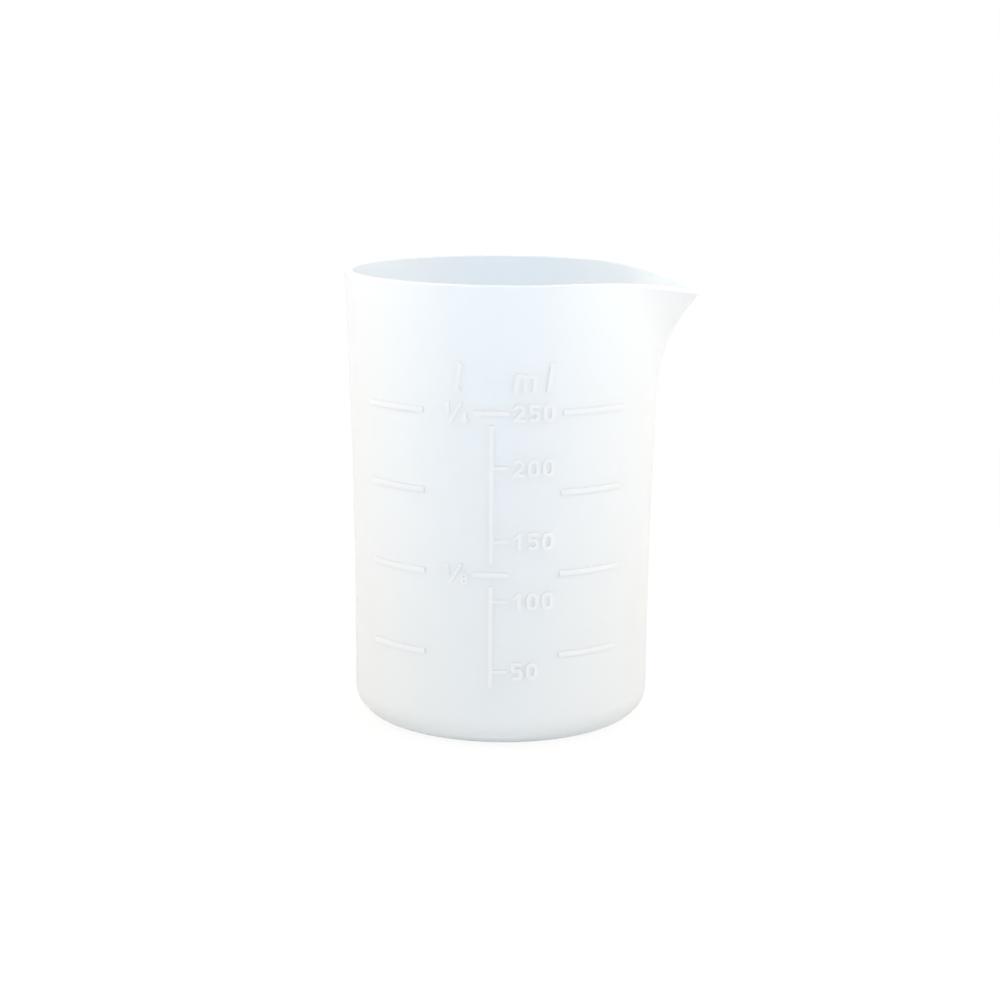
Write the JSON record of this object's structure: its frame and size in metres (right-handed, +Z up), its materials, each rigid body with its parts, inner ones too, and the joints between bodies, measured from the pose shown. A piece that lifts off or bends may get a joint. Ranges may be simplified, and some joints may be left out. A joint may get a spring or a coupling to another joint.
{
  "type": "resin mixing cup",
  "caption": "Translucent silicone beaker with a V-shaped pouring spout, rounded base and raised volume scale.",
  "frame": {"origin": "centre of the round base, on the surface that the cup stands on", "axes": "+Z up along the cup's axis, +X towards the pouring spout, the middle of the scale faces -Y"},
  "size_m": [0.0815, 0.0736, 0.104],
  "materials": {
    "silicone": "translucent satin",
    "silicone_mark": "translucent satin"
  },
  "bodies": {
    "root": {"cup_body": "silicone", "unit_litre": "silicone_mark", "unit_millilitre": "silicone_mark", "fraction_quarter": "silicone_mark", "fraction_eighth": "silicone_mark", "line_quarter_litre": "silicone_mark", "line_eighth_litre": "silicone_mark", "stem_upper": "silicone_mark", "stem_lower": "silicone_mark", "tick_200": "silicone_mark", "tick_150": "silicone_mark", "tick_100": "silicone_mark", "tick_50": "silicone_mark", "numeral_250": "silicone_mark", "numeral_200": "silicone_mark", "numeral_150": "silicone_mark", "numeral_100": "silicone_mark", "numeral_50": "silicone_mark", "arc_left_250": "silicone_mark", "arc_left_187": "silicone_mark", "arc_left_125": "silicone_mark", "arc_left_62": "silicone_mark", "arc_right_250": "silicone_mark", "arc_right_187": "silicone_mark", "arc_right_125": "silicone_mark", "arc_right_62": "silicone_mark"}
  },
  "joints": []
}
